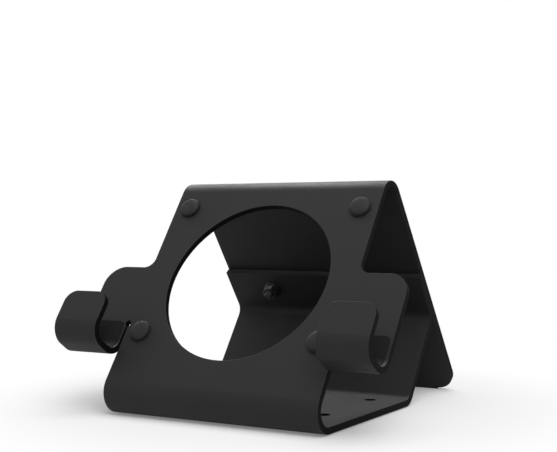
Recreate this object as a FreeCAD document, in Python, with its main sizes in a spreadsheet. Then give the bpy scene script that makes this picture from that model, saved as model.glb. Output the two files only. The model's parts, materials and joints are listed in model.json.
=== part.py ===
"""Tablet stand folded from one metal sheet, with its soft parts and fasteners.

The sheet is a closed A-frame: rear leg, top bend, back plate with a round hole, front bend,
flat base, rear bend, brace, and a flange screwed under the leg. Two ears of the back plate
run down beside the front bend and fold into J hooks that carry the lower edge of a tablet.

Axes: +X across the stand, +Y from the hooks towards the rear leg, +Z up, millimetres.
The origin lies on the table under the middle of the stand.
"""
import FreeCAD, Part
import math
import os

import Sketcher
from FreeCAD import Placement, Rotation, Vector

# ---------------------------------------------------------------- driving dimensions
# Each row: alias, value in millimetres or degrees, what it is.
DRIVING = [
    ("sheet_thickness", 3.0, "thickness of the folded sheet"),
    ("strip_width", 109.4, "width of leg, plate, base and brace"),
    ("plate_angle", 54.5, "slope of the back plate"),
    ("leg_angle", 54.5, "slope of the rear leg"),
    ("brace_angle", 54.5, "slope of the brace"),
    ("front_reach", 81.8, "origin to the sharp corner of plate and base"),
    ("base_length", 99.9, "front sharp corner to rear sharp corner"),
    ("leg_reach", 156.0, "front sharp corner to the toe of the leg"),
    ("front_bend_radius", 7.0, "inside radius of the front bend"),
    ("rear_bend_radius", 5.0, "inside radius of the rear bend"),
    ("top_bend_radius", 7.0, "inside radius of the top bend"),
    ("flange_bend_radius", 5.0, "inside radius of the flange bend"),
    ("flange_flat", 21.0, "flat length of the flange under the leg"),
    ("seam_gap", 0.15, "coat thickness between flange and leg"),
    ("toe_corner_radius", 10.0, "rounded lower corners of the leg"),
    ("window_diameter", 82.0, "round hole in the back plate"),
    ("window_height", 74.1, "front corner to the hole's centre, along the plate"),
    ("hook_width", 23.7, "width of one J hook"),
    ("slit_width", 1.1, "cut between hook and strip"),
    ("slit_top", 48.5, "upper end of the cut, along the plate"),
    ("relief_diameter", 3.0, "round end of the cut"),
    ("ear_top", 79.5, "upper edge of the ears, along the plate"),
    ("ear_corner_radius", 10.0, "outer corner of an ear"),
    ("ear_root_radius", 5.0, "inner corner between ear and plate"),
    ("hook_slot", 16.6, "clear depth between plate and tab"),
    ("hook_seat", 33.3, "front corner to the hook's floor, along the plate"),
    ("hook_bend_radius", 6.0, "inside radius of the hook's two bends"),
    ("tab_height", 20.3, "hook's floor to the top of the tab"),
    ("tab_corner_radius", 6.0, "rounded top corners of the tab"),
    ("anchor_diameter", 5.5, "screw holes in the base"),
    ("anchor_spacing_x", 78.0, "across the base"),
    ("anchor_spacing_y", 45.0, "along the base"),
    ("anchor_setback", 66.5, "front corner to the middle of the screw holes"),
    ("liner_thickness", 0.5, "soft lining of a hook"),
    ("liner_inset", 1.5, "lining stops short of the hook's sides"),
    ("liner_height", 16.0, "lining above the hook's floor"),
    ("bumper_diameter", 10.0, "rubber bumper on the plate"),
    ("bumper_thickness", 2.7, "stand-off of the tablet's back"),
    ("bumper_rim", 0.9, "bevelled upper rim of a bumper"),
    ("bumper_spacing", 92.0, "across the plate"),
    ("bumper_low", 44.6, "front corner to the lower bumpers, along the plate"),
    ("bumper_high_inset", 10.0, "start of the top bend to the upper bumpers"),
    ("pad_diameter", 12.0, "anti-slip pad under the base"),
    ("pad_thickness", 0.5, "lift of the base above the table"),
    ("pad_spacing_x", 50.0, "across the base"),
    ("pad_spacing_y", 45.0, "along the base"),
    ("screw_diameter", 4.0, "brace screw"),
    ("screw_clearance", 0.25, "round the screw in its hole"),
    ("screw_length", 12.0, "under the head"),
    ("screw_spacing", 60.0, "across the leg"),
    ("head_diameter", 7.6, "button head"),
    ("head_height", 2.2, "button head"),
    ("head_rim", 0.6, "upright rim of the head"),
    ("crown_diameter", 4.4, "flat top of the head"),
    ("socket_flats", 2.5, "hexagon socket"),
    ("socket_depth", 1.3, "hexagon socket"),
    ("washer_diameter", 9.0, "flat washer"),
    ("washer_thickness", 0.8, "flat washer"),
    ("washer_clearance", 0.15, "round the screw in the washer"),
    ("nut_flats", 7.0, "hexagon nut"),
    ("nut_height", 3.2, "hexagon nut"),
    ("nut_chamfer", 0.5, "turned corners of the nut"),
    ("thread_clearance", 0.05, "between nut and screw"),
]

# Worked out from the driving dimensions.
DERIVED = [
    ("half_width", "=strip_width / 2"),
    ("front_corner_y", "=0 - front_reach"),
    ("leg_heading", "=180 - leg_angle"),
    ("toe_y", "=front_corner_y + leg_reach"),
    ("outer_front_radius", "=front_bend_radius + sheet_thickness"),
    ("outer_rear_radius", "=rear_bend_radius + sheet_thickness"),
    ("outer_top_radius", "=top_bend_radius + sheet_thickness"),
    ("outer_flange_radius", "=flange_bend_radius + sheet_thickness"),
    ("outer_hook_radius", "=hook_bend_radius + sheet_thickness"),
    ("flange_turn", "=180 - leg_angle - brace_angle"),
    ("flange_tangent", "=outer_flange_radius * tan(flange_turn / 2)"),
    ("brace_joint", "=(leg_reach - base_length) * sin(brace_angle) / sin(flange_turn)"),
    ("screw_up", "=brace_joint + flange_tangent + flange_flat / 2"),
    ("screw_hole", "=screw_diameter + 2 * screw_clearance"),
    ("joint_depth", "=4 * sheet_thickness"),
    ("joint_y", "=toe_y - screw_up * cos(leg_angle)"),
    ("joint_z", "=pad_thickness + screw_up * sin(leg_angle)"),
    ("head_seat_y", "=joint_y + sheet_thickness * sin(leg_angle)"),
    ("head_seat_z", "=joint_z + sheet_thickness * cos(leg_angle)"),
    ("washer_drop", "=sheet_thickness + seam_gap + washer_thickness"),
    ("washer_y", "=joint_y - washer_drop * sin(leg_angle)"),
    ("washer_z", "=joint_z - washer_drop * cos(leg_angle)"),
    ("nut_drop", "=washer_drop + nut_height"),
    ("nut_y", "=joint_y - nut_drop * sin(leg_angle)"),
    ("nut_z", "=joint_z - nut_drop * cos(leg_angle)"),
    ("hook_inner_x", "=half_width + slit_width"),
    ("hook_outer_x", "=hook_inner_x + hook_width"),
    ("hook_outer_depth", "=hook_slot + sheet_thickness"),
    ("hook_outer_seat", "=hook_seat - sheet_thickness"),
    ("tab_top", "=hook_seat + tab_height"),
    ("slit_centre_x", "=half_width + slit_width / 2"),
    ("ear_bridge_x", "=half_width - slit_width"),
    ("ear_bridge_width", "=3 * slit_width"),
    ("plate_tilt", "=90 - plate_angle"),
    ("window_radius", "=window_diameter / 2"),
    ("window_y", "=front_corner_y + window_height * cos(plate_angle)"),
    ("window_z", "=pad_thickness + window_height * sin(plate_angle)"),
    ("slit_top_y", "=front_corner_y + slit_top * cos(plate_angle)"),
    ("slit_top_z", "=pad_thickness + slit_top * sin(plate_angle)"),
    ("relief_radius", "=relief_diameter / 2"),
    ("cut_depth", "=3 * sheet_thickness"),
    ("anchor_y", "=front_corner_y + anchor_setback"),
    ("anchor_radius", "=anchor_diameter / 2"),
    ("screw_hole_radius", "=screw_hole / 2"),
    ("liner_width", "=hook_width - 2 * liner_inset"),
    ("liner_x", "=hook_inner_x + liner_inset"),
    ("liner_mirror_x", "=0 - hook_outer_x + liner_inset"),
    ("liner_top", "=hook_seat + liner_height"),
    ("liner_bend_radius", "=hook_bend_radius - liner_thickness"),
    ("liner_slot", "=hook_slot"),
    ("loop_span", "=leg_reach + sheet_thickness / sin(leg_angle)"),
    ("plate_length", "=loop_span * sin(leg_angle) / sin(plate_angle + leg_angle)"),
    ("top_setback", "=outer_top_radius * tan((plate_angle + leg_angle) / 2)"),
    ("bumper_high", "=plate_length - top_setback - bumper_high_inset"),
    ("bumper_radius", "=bumper_diameter / 2"),
    ("bumper_low_y", "=front_corner_y + bumper_low * cos(plate_angle)"),
    ("bumper_low_z", "=pad_thickness + bumper_low * sin(plate_angle)"),
    ("bumper_high_y", "=front_corner_y + bumper_high * cos(plate_angle)"),
    ("bumper_high_z", "=pad_thickness + bumper_high * sin(plate_angle)"),
    ("bumper_x", "=bumper_spacing / 2"),
    ("pad_radius", "=pad_diameter / 2"),
    ("pad_x", "=pad_spacing_x / 2"),
    ("pad_front_y", "=anchor_y - pad_spacing_y / 2"),
    ("pad_rear_y", "=anchor_y + pad_spacing_y / 2"),
    ("toe_strip_width", "=strip_width - 2 * toe_corner_radius"),
    ("toe_strip_depth", "=sheet_thickness * sin(leg_angle)"),
    ("toe_strip_rise", "=pad_thickness + sheet_thickness * cos(leg_angle)"),
    ("screw_x", "=screw_spacing / 2"),
    ("screw_radius", "=screw_diameter / 2"),
    ("head_radius", "=head_diameter / 2"),
    ("crown_radius", "=crown_diameter / 2"),
    ("socket_cut", "=2 * socket_depth"),
    ("washer_radius", "=washer_diameter / 2"),
    ("washer_bore_radius", "=screw_radius + washer_clearance"),
    ("nut_bore_radius", "=screw_radius + thread_clearance"),
    ("chamfer_start", "=nut_corner_radius - 2 * nut_chamfer"),
    ("chamfer_width", "=3 * nut_chamfer"),
    ("chamfer_rise", "=1.5 * nut_chamfer"),
    ("nut_corner_radius", "=nut_flats / sqrt(3)"),
    ("socket_corner_radius", "=socket_flats / sqrt(3)"),
]

START, END, CENTRE = range(1, 4)

doc = FreeCAD.newDocument("tablet_stand")
sizes = doc.addObject("Spreadsheet::Sheet", "sizes")
row = 1
for alias, value, meaning in DRIVING:
    sizes.set("A%d" % row, meaning)
    sizes.set("B%d" % row, str(value))
    sizes.setAlias("B%d" % row, alias)
    row += 1
for alias, formula in DERIVED:
    sizes.set("B%d" % row, formula)
    sizes.setAlias("B%d" % row, alias)
    row += 1
doc.recompute()


def size(alias):
    """Present value of a cell of the spreadsheet."""
    return float(getattr(sizes, alias))


# ---------------------------------------------------------------- sketch helpers
def plane(body, role):
    """Origin plane of a body, such as YZ_Plane."""
    return [item for item in body.Origin.OriginFeatures if item.Role == role][0]


def new_body(label):
    body = doc.addObject("PartDesign::Body", label)
    body.Label = label
    return body


def new_sketch(body, name, role, offset=None):
    """Sketch on an origin plane; offset maps AttachmentOffset paths to spreadsheet cells."""
    sketch = body.newObject("Sketcher::SketchObject", name)
    sketch.AttachmentSupport = [(plane(body, role), "")]
    sketch.MapMode = "FlatFace"
    axis, cells = offset if offset else (Vector(0, 0, 1), {})
    sketch.AttachmentOffset = Placement(Vector(0, 0, 0), Rotation(axis, 0))
    if "Rotation.Angle" in cells:
        angle = size(cells["Rotation.Angle"])
        sketch.AttachmentOffset = Placement(Vector(0, 0, 0), Rotation(axis, angle))
    for path, alias in cells.items():
        sketch.setExpression("AttachmentOffset." + path, "sizes." + alias)
    return sketch


def line(sketch, start, end, construction=False):
    return sketch.addGeometry(Part.LineSegment(start, end), construction)


def join(sketch, first, first_point, second, second_point):
    sketch.addConstraint(Sketcher.Constraint("Coincident", first, first_point, second, second_point))


def dimension(sketch, kind, alias, *places):
    """Dimensional constraint bound to one cell of the spreadsheet."""
    value = size(alias)
    if kind == "Angle":
        value = math.radians(value)
    index = sketch.addConstraint(Sketcher.Constraint(kind, *places, value))
    name = "%s_%d" % (alias, index)
    sketch.renameConstraint(index, name)
    sketch.setExpression("Constraints." + name, "sizes." + alias)


def circle(sketch, x, y, radius_alias):
    geometry = Part.Circle(Vector(x, y, 0), Vector(0, 0, 1), size(radius_alias))
    index = sketch.addGeometry(geometry, False)
    dimension(sketch, "Radius", radius_alias, index)
    return index


def bent_strip(sketch, corners, inside_radii, outside_radii, thickness):
    """Closed outline of a folded strip.

    corners are the sharp corners of its outer face, from end to end; they become a
    construction polyline. Every bend turns the same way and has concentric arcs.
    """
    runs = len(corners) - 1
    headings = [(corners[i + 1] - corners[i]).normalize() for i in range(runs)]
    first, second = headings[0], headings[1]
    side = 1 if first.x * second.y - first.y * second.x > 0 else -1
    inward = [Vector(-side * item.y, side * item.x, 0) for item in headings]
    setbacks = [0.0]
    for i in range(1, runs):
        turn = headings[i - 1].getAngle(headings[i])
        setbacks.append(size(outside_radii[i - 1]) * math.tan(turn / 2))
    setbacks.append(0.0)

    spine = [line(sketch, corners[i], corners[i + 1], True) for i in range(runs)]
    outer, inner = [], []
    for i in range(runs):
        start = corners[i] + headings[i] * setbacks[i]
        end = corners[i + 1] - headings[i] * setbacks[i + 1]
        shift = inward[i] * thickness
        outer.append((line(sketch, start, end), start, end))
        inner.append((line(sketch, start + shift, end + shift), start + shift, end + shift))

    for i in range(1, runs):
        centre = outer[i - 1][2] + inward[i - 1] * size(outside_radii[i - 1])
        arcs = []
        for face, radius in ((outer, outside_radii[i - 1]), (inner, inside_radii[i - 1])):
            ends = (face[i - 1][2] - centre, face[i][1] - centre)
            angles = [math.atan2(item.y, item.x) for item in ends]
            points = (START, END)
            if side < 0:
                angles.reverse()
                points = (END, START)
            bend = Part.Circle(centre, Vector(0, 0, 1), size(radius))
            arc = sketch.addGeometry(Part.ArcOfCircle(bend, angles[0], angles[1]), False)
            tangent = Sketcher.Constraint("Tangent", face[i - 1][0], END, arc, points[0])
            sketch.addConstraint(tangent)
            tangent = Sketcher.Constraint("Tangent", arc, points[1], face[i][0], START)
            sketch.addConstraint(tangent)
            dimension(sketch, "Radius", radius, arc)
            arcs.append(arc)
        join(sketch, arcs[0], CENTRE, arcs[1], CENTRE)

    for run, point in ((0, START), (runs - 1, END)):
        cap = line(sketch, outer[run][point], inner[run][point])
        join(sketch, cap, START, outer[run][0], point)
        join(sketch, cap, END, inner[run][0], point)
        sketch.addConstraint(Sketcher.Constraint("Perpendicular", cap, outer[run][0]))
        sketch.addConstraint(Sketcher.Constraint("Perpendicular", cap, inner[run][0]))

    for i in range(1, runs):
        join(sketch, spine[i - 1], END, spine[i], START)
    join(sketch, spine[0], START, outer[0][0], START)
    join(sketch, spine[-1], END, outer[-1][0], END)
    for i in range(runs):
        for point in (START, END):
            if (i, point) not in ((0, START), (runs - 1, END)):
                on_spine = Sketcher.Constraint("PointOnObject", outer[i][0], point, spine[i])
                sketch.addConstraint(on_spine)
    return spine, [item[0] for item in outer], [item[0] for item in inner]


def pad(body, name, sketch, length_alias, symmetric=False):
    feature = body.newObject("PartDesign::Pad", name)
    feature.Profile = sketch
    feature.SideType = "Symmetric" if symmetric else "One side"
    feature.setExpression("Length", "sizes." + length_alias)
    doc.recompute()
    return feature


def pocket(body, name, sketch, length_alias):
    """Cut of limited depth, half to each side of its sketch."""
    before = body.Shape.Volume
    feature = body.newObject("PartDesign::Pocket", name)
    feature.Profile = sketch
    feature.SideType = "Symmetric"
    feature.setExpression("Length", "sizes." + length_alias)
    doc.recompute()
    if body.Shape.Volume > before - 1.0:
        raise RuntimeError(name + " removed nothing")
    return feature


def fillet(body, name, feature, places, radius_alias, axis):
    """Round the straight edges of feature that run along axis through the given places."""
    names = []
    for number, edge in enumerate(feature.Shape.Edges, 1):
        if edge.Curve.TypeId != "Part::GeomLine":
            continue
        if edge.Curve.Direction.cross(axis).Length > 0.001:
            continue
        middle = edge.CenterOfMass
        if any((middle - place).Length < size("sheet_thickness") / 2 for place in places):
            names.append("Edge%d" % number)
    if len(names) != len(places):
        raise RuntimeError("%s: %d edges for %d places" % (name, len(names), len(places)))
    rounding = body.newObject("PartDesign::Fillet", name)
    rounding.Base = (feature, names)
    rounding.setExpression("Radius", "sizes." + radius_alias)
    doc.recompute()
    return rounding


# ---------------------------------------------------------------- the folded sheet
def on_plate(x, along, out):
    """Point given across the stand, up the plate from the front corner, and out of its face."""
    slope = math.radians(size("plate_angle"))
    up = Vector(0, math.cos(slope), math.sin(slope))
    normal = Vector(0, -math.sin(slope), math.cos(slope))
    corner = Vector(x, size("front_corner_y"), size("pad_thickness"))
    return corner + up * along + normal * out


def on_leg(x, along, out):
    """Point given across the stand, up the leg from its toe, and out of its underside."""
    slope = math.radians(size("leg_angle"))
    up = Vector(0, -math.cos(slope), math.sin(slope))
    normal = Vector(0, math.sin(slope), math.cos(slope))
    return Vector(x, size("toe_y"), size("pad_thickness")) + up * along + normal * out


def frame_corners():
    """Sharp corners of the loop's outer face: toe, top, front, rear, joint, flange end."""
    thickness = size("sheet_thickness")
    leg = math.radians(size("leg_angle"))
    plate = math.radians(size("plate_angle"))
    brace = math.radians(size("brace_angle"))
    floor = size("pad_thickness")
    front = Vector(size("front_corner_y"), floor, 0)
    rear = Vector(front.x + size("base_length"), floor, 0)
    toe = Vector(size("toe_y") + thickness * math.sin(leg), floor + thickness * math.cos(leg), 0)
    outer_foot = toe.x + (toe.y - floor) / math.tan(leg)
    span = outer_foot - front.x
    rise = span * math.sin(plate) * math.sin(leg) / math.sin(plate + leg)
    top = Vector(front.x + rise / math.tan(plate), floor + rise, 0)
    foot_gap = size("toe_y") - size("seam_gap") / math.sin(leg) - rear.x
    climb = foot_gap * math.sin(brace) * math.sin(leg) / math.sin(brace + leg)
    joint = Vector(rear.x + climb / math.tan(brace), floor + climb, 0)
    up_leg = Vector(-math.cos(leg), math.sin(leg), 0)
    flange_end = joint + up_leg * (size("flange_tangent") + size("flange_flat"))
    return [toe, top, front, rear, joint, flange_end]


def folded_sheet():
    body = new_body("stand_sheet")

    # The loop of leg, plate, base, brace and flange, drawn from the side.
    profile = new_sketch(body, "loop_profile", "YZ_Plane")
    bends = ("top", "front", "rear", "flange")
    inside = [item + "_bend_radius" for item in bends]
    outside = ["outer_%s_radius" % item for item in bends]
    spine, outer, inner = bent_strip(
        profile, frame_corners(), inside, outside, size("sheet_thickness"))
    leg, plate, base, brace, flange = spine
    dimension(profile, "DistanceX", "front_reach", base, START, -1, START)
    dimension(profile, "DistanceY", "pad_thickness", -1, START, base, START)
    profile.addConstraint(Sketcher.Constraint("Horizontal", base))
    dimension(profile, "DistanceX", "base_length", base, START, base, END)
    dimension(profile, "Angle", "plate_angle", base, START, plate, END)
    dimension(profile, "DistanceX", "leg_reach", base, START, inner[0], START)
    dimension(profile, "DistanceY", "pad_thickness", -1, START, inner[0], START)
    dimension(profile, "Angle", "leg_heading", base, START, leg, START)
    dimension(profile, "Angle", "brace_angle", base, START, brace, START)
    profile.addConstraint(Sketcher.Constraint("Parallel", flange, leg))
    dimension(profile, "Distance", "seam_gap", flange, START, inner[0])
    dimension(profile, "Distance", "flange_flat", outer[-1])
    pad(body, "loop", profile, "strip_width", symmetric=True)

    # One J hook with the ear above it, drawn from the side along the plate.
    beside_strip = {"Base.x": "front_corner_y", "Base.y": "pad_thickness",
                    "Base.z": "hook_inner_x", "Rotation.Angle": "plate_tilt"}
    hook = new_sketch(body, "hook_profile", "YZ_Plane", (Vector(0, 0, -1), beside_strip))
    rear_face = size("sheet_thickness")
    front_face = -size("hook_outer_depth")
    low = size("hook_outer_seat")
    corners = [Vector(rear_face, size("ear_top"), 0), Vector(rear_face, low, 0),
               Vector(front_face, low, 0), Vector(front_face, size("tab_top"), 0)]
    spine, outer, inner = bent_strip(
        hook, corners, ["hook_bend_radius"] * 2, ["outer_hook_radius"] * 2, rear_face)
    wall, floor, tab = spine
    hook.addConstraint(Sketcher.Constraint("Vertical", wall))
    hook.addConstraint(Sketcher.Constraint("Horizontal", floor))
    hook.addConstraint(Sketcher.Constraint("Vertical", tab))
    dimension(hook, "DistanceX", "sheet_thickness", -1, START, wall, START)
    dimension(hook, "DistanceY", "ear_top", -1, START, wall, START)
    dimension(hook, "DistanceY", "hook_outer_seat", -1, START, floor, END)
    dimension(hook, "DistanceX", "hook_outer_depth", floor, END, -1, START)
    dimension(hook, "DistanceY", "tab_top", -1, START, tab, END)
    hook_pad = pad(body, "hook", hook, "hook_width")

    # The ear runs into the plate above the slit.
    bridge_offset = dict(beside_strip)
    bridge_offset["Base.z"] = "ear_bridge_x"
    bridge = new_sketch(body, "ear_profile", "YZ_Plane", (Vector(0, 0, -1), bridge_offset))
    rectangle(bridge, 0, size("slit_top"), rear_face, size("ear_top"))
    dimension(bridge, "DistanceX", "sheet_thickness", 0, START, 0, END)
    dimension(bridge, "DistanceY", "slit_top", -1, START, 0, START)
    dimension(bridge, "DistanceY", "ear_top", -1, START, 2, START)
    bridge.addConstraint(Sketcher.Constraint("PointOnObject", 0, START, -2))
    bridge_pad = pad(body, "ear_bridge", bridge, "ear_bridge_width")

    mirrored = body.newObject("PartDesign::Mirrored", "second_hook")
    mirrored.Originals = [hook_pad, bridge_pad]
    mirrored.MirrorPlane = (plane(body, "YZ_Plane"), [""])
    body.Tip = mirrored
    doc.recompute()

    # Round window in the plate.
    on_plate_face = {"Base.y": "window_y", "Base.z": "window_z", "Rotation.Angle": "plate_angle"}
    window = new_sketch(body, "window_profile", "XY_Plane", (Vector(1, 0, 0), on_plate_face))
    circle(window, 0, 0, "window_radius")
    join(window, 0, CENTRE, -1, START)
    pocket(body, "window", window, "cut_depth")

    # Drilled end of each slit.
    at_slit = {"Base.y": "slit_top_y", "Base.z": "slit_top_z", "Rotation.Angle": "plate_angle"}
    relief = new_sketch(body, "relief_profile", "XY_Plane", (Vector(1, 0, 0), at_slit))
    for sign in (1, -1):
        hole = circle(relief, sign * size("slit_centre_x"), 0, "relief_radius")
        relief.addConstraint(Sketcher.Constraint("PointOnObject", hole, CENTRE, -1))
        ends = (-1, START, hole, CENTRE) if sign > 0 else (hole, CENTRE, -1, START)
        dimension(relief, "DistanceX", "slit_centre_x", *ends)
    pocket(body, "slit_relief", relief, "cut_depth")

    # Four screw holes in the base.
    at_anchor = {"Base.y": "anchor_y", "Base.z": "pad_thickness"}
    anchors = new_sketch(body, "anchor_profile", "XY_Plane", (Vector(1, 0, 0), at_anchor))
    hole_rectangle(anchors, "anchor_spacing_x", "anchor_spacing_y", "anchor_radius")
    pocket(body, "anchor_holes", anchors, "cut_depth")

    # Two screw holes through leg and flange.
    at_joint = {"Base.y": "joint_y", "Base.z": "joint_z", "Rotation.Angle": "leg_angle"}
    joints = new_sketch(body, "joint_profile", "XY_Plane", (Vector(-1, 0, 0), at_joint))
    for sign in (1, -1):
        hole = circle(joints, sign * size("screw_x"), 0, "screw_hole_radius")
        joints.addConstraint(Sketcher.Constraint("PointOnObject", hole, CENTRE, -1))
        ends = (-1, START, hole, CENTRE) if sign > 0 else (hole, CENTRE, -1, START)
        dimension(joints, "DistanceX", "screw_x", *ends)
    cut = pocket(body, "joint_holes", joints, "joint_depth")

    # Rounded corners of toe, tabs and ears.
    middle = size("sheet_thickness") / 2
    normal = on_plate(0, 0, 1) - on_plate(0, 0, 0)
    leg_normal = on_leg(0, 0, 1) - on_leg(0, 0, 0)
    half = size("half_width")
    toes = [on_leg(sign * half, 0, middle) for sign in (1, -1)]
    cut = fillet(body, "toe_corners", cut, toes, "toe_corner_radius", leg_normal)
    tabs = [on_plate(sign * size(edge), size("tab_top"), size("hook_slot") + middle)
            for sign in (1, -1) for edge in ("hook_inner_x", "hook_outer_x")]
    cut = fillet(body, "tab_corners", cut, tabs, "tab_corner_radius", normal)
    ears = [on_plate(sign * size("hook_outer_x"), size("ear_top"), -middle) for sign in (1, -1)]
    cut = fillet(body, "ear_corners", cut, ears, "ear_corner_radius", normal)
    roots = [on_plate(sign * half, size("ear_top"), -middle) for sign in (1, -1)]
    fillet(body, "ear_roots", cut, roots, "ear_root_radius", normal)
    return body


def rectangle(sketch, left, low, right, high):
    """Four lines, the first along the bottom, then round to the left side."""
    points = [Vector(left, low, 0), Vector(right, low, 0), Vector(right, high, 0),
              Vector(left, high, 0)]
    first = sketch.GeometryCount
    for i in range(4):
        line(sketch, points[i], points[(i + 1) % 4])
    for i in range(4):
        join(sketch, first + i, END, first + (i + 1) % 4, START)
    for i in (0, 2):
        sketch.addConstraint(Sketcher.Constraint("Horizontal", first + i))
    for i in (1, 3):
        sketch.addConstraint(Sketcher.Constraint("Vertical", first + i))


def hole_rectangle(sketch, width_alias, depth_alias, radius_alias):
    """Four circles at the corners of a construction rectangle centred on the origin."""
    x, y = size(width_alias) / 2, size(depth_alias) / 2
    rectangle(sketch, -x, -y, x, y)
    for i in range(4):
        sketch.toggleConstruction(i)
    dimension(sketch, "DistanceX", width_alias, 0, START, 0, END)
    dimension(sketch, "DistanceY", depth_alias, 1, START, 1, END)
    centred = Sketcher.Constraint("Symmetric", 0, START, 1, END, -1, START)
    sketch.addConstraint(centred)
    for i, place in enumerate(((-x, -y), (x, -y), (x, y), (-x, y))):
        hole = circle(sketch, place[0], place[1], radius_alias)
        join(sketch, hole, CENTRE, i, START)


# ---------------------------------------------------------------- soft parts
def hook_liner(label, x_alias):
    """Thin soft lining that follows the inside of a J hook."""
    body = new_body(label)
    offset = {"Base.x": "front_corner_y", "Base.y": "pad_thickness", "Base.z": x_alias,
              "Rotation.Angle": "plate_tilt"}
    sketch = new_sketch(body, label + "_profile", "YZ_Plane", (Vector(0, 0, -1), offset))
    top, seat, depth = size("liner_top"), size("hook_seat"), size("liner_slot")
    corners = [Vector(0, top, 0), Vector(0, seat, 0), Vector(-depth, seat, 0),
               Vector(-depth, top, 0)]
    spine, outer, inner = bent_strip(
        sketch, corners, ["liner_bend_radius"] * 2, ["hook_bend_radius"] * 2,
        size("liner_thickness"))
    wall, floor, tab = spine
    sketch.addConstraint(Sketcher.Constraint("PointOnObject", wall, START, -2))
    sketch.addConstraint(Sketcher.Constraint("Vertical", wall))
    sketch.addConstraint(Sketcher.Constraint("Horizontal", floor))
    sketch.addConstraint(Sketcher.Constraint("Vertical", tab))
    dimension(sketch, "DistanceY", "liner_top", -1, START, wall, START)
    dimension(sketch, "DistanceY", "hook_seat", -1, START, floor, END)
    dimension(sketch, "DistanceX", "liner_slot", floor, END, -1, START)
    dimension(sketch, "DistanceY", "liner_top", -1, START, tab, END)
    pad(body, label + "_strip", sketch, "liner_width")
    return body


def disc(label, radius_size, thickness_alias, rim_alias=None):
    """Round rubber piece on the XY plane, its upper rim bevelled where rim_alias is given."""
    body = new_body(label)
    sketch = new_sketch(body, label + "_profile", "XY_Plane")
    circle(sketch, 0, 0, radius_size)
    join(sketch, 0, CENTRE, -1, START)
    feature = pad(body, label + "_disc", sketch, thickness_alias)
    if rim_alias:
        top = size(thickness_alias)
        names = ["Edge%d" % number for number, edge in enumerate(feature.Shape.Edges, 1)
                 if abs(edge.BoundBox.ZMin - top) < 0.001]
        rim = body.newObject("PartDesign::Chamfer", label + "_rim")
        rim.Base = (feature, names)
        rim.setExpression("Size", "sizes." + rim_alias)
        doc.recompute()
    return body


UPRIGHT = Vector(1, 0, 0)
LEANING = Vector(-1, 0, 0)


def place(body, x, y, z, axis=UPRIGHT, tilt=None):
    """Bind the Placement to cells: x, y and z are expressions, tilt is an alias."""
    body.Placement = Placement(Vector(0, 0, 0), Rotation(axis, size(tilt) if tilt else 0))
    body.setExpression("Placement.Base.x", x)
    body.setExpression("Placement.Base.y", y)
    body.setExpression("Placement.Base.z", z)
    if tilt:
        body.setExpression("Placement.Rotation.Angle", "sizes." + tilt)


def plate_bumper(label, side, level):
    """Rubber bumper on the plate; level is low or high."""
    body = disc(label, "bumper_radius", "bumper_thickness", "bumper_rim")
    spot = "sizes.bumper_%s_" % level
    place(body, side + "sizes.bumper_x", spot + "y", spot + "z", UPRIGHT, "plate_angle")
    return body


def base_pad(label, side, end):
    """Thin anti-slip disc under the base; end is front or rear."""
    body = disc(label, "pad_radius", "pad_thickness")
    place(body, side + "sizes.pad_x", "sizes.pad_%s_y" % end, "0")
    return body


def toe_strip():
    """Rubber wedge bonded along the cut lower edge of the leg."""
    body = new_body("toe_strip")
    offset = {"Base.x": "toe_y"}
    sketch = new_sketch(body, "toe_strip_profile", "YZ_Plane", (Vector(0, 0, 1), offset))
    depth, low, high = size("toe_strip_depth"), size("pad_thickness"), size("toe_strip_rise")
    points = [Vector(0, 0, 0), Vector(depth, 0, 0), Vector(depth, high, 0), Vector(0, low, 0)]
    for i in range(4):
        line(sketch, points[i], points[(i + 1) % 4])
    for i in range(4):
        join(sketch, i, END, (i + 1) % 4, START)
    join(sketch, 0, START, -1, START)
    sketch.addConstraint(Sketcher.Constraint("Horizontal", 0))
    sketch.addConstraint(Sketcher.Constraint("Vertical", 1))
    sketch.addConstraint(Sketcher.Constraint("Vertical", 3))
    dimension(sketch, "DistanceX", "toe_strip_depth", 0, START, 0, END)
    dimension(sketch, "DistanceY", "pad_thickness", 3, END, 3, START)
    dimension(sketch, "DistanceY", "toe_strip_rise", 1, START, 1, END)
    pad(body, "toe_strip_wedge", sketch, "toe_strip_width", symmetric=True)
    return body


# ---------------------------------------------------------------- fasteners
def hexagon(sketch, corner_radius_alias):
    """Regular hexagon on a construction circle, one corner on the X axis."""
    rim = circle(sketch, 0, 0, corner_radius_alias)
    sketch.toggleConstruction(rim)
    join(sketch, rim, CENTRE, -1, START)
    radius = size(corner_radius_alias)
    corners = [Vector(radius * math.cos(math.radians(60 * i)),
                      radius * math.sin(math.radians(60 * i)), 0) for i in range(6)]
    sides = [line(sketch, corners[i], corners[(i + 1) % 6]) for i in range(6)]
    for i in range(6):
        join(sketch, sides[i], END, sides[(i + 1) % 6], START)
        on_rim = Sketcher.Constraint("PointOnObject", sides[i], START, rim)
        sketch.addConstraint(on_rim)
        if i:
            sketch.addConstraint(Sketcher.Constraint("Equal", sides[0], sides[i]))
    sketch.addConstraint(Sketcher.Constraint("PointOnObject", sides[0], START, -1))


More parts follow.
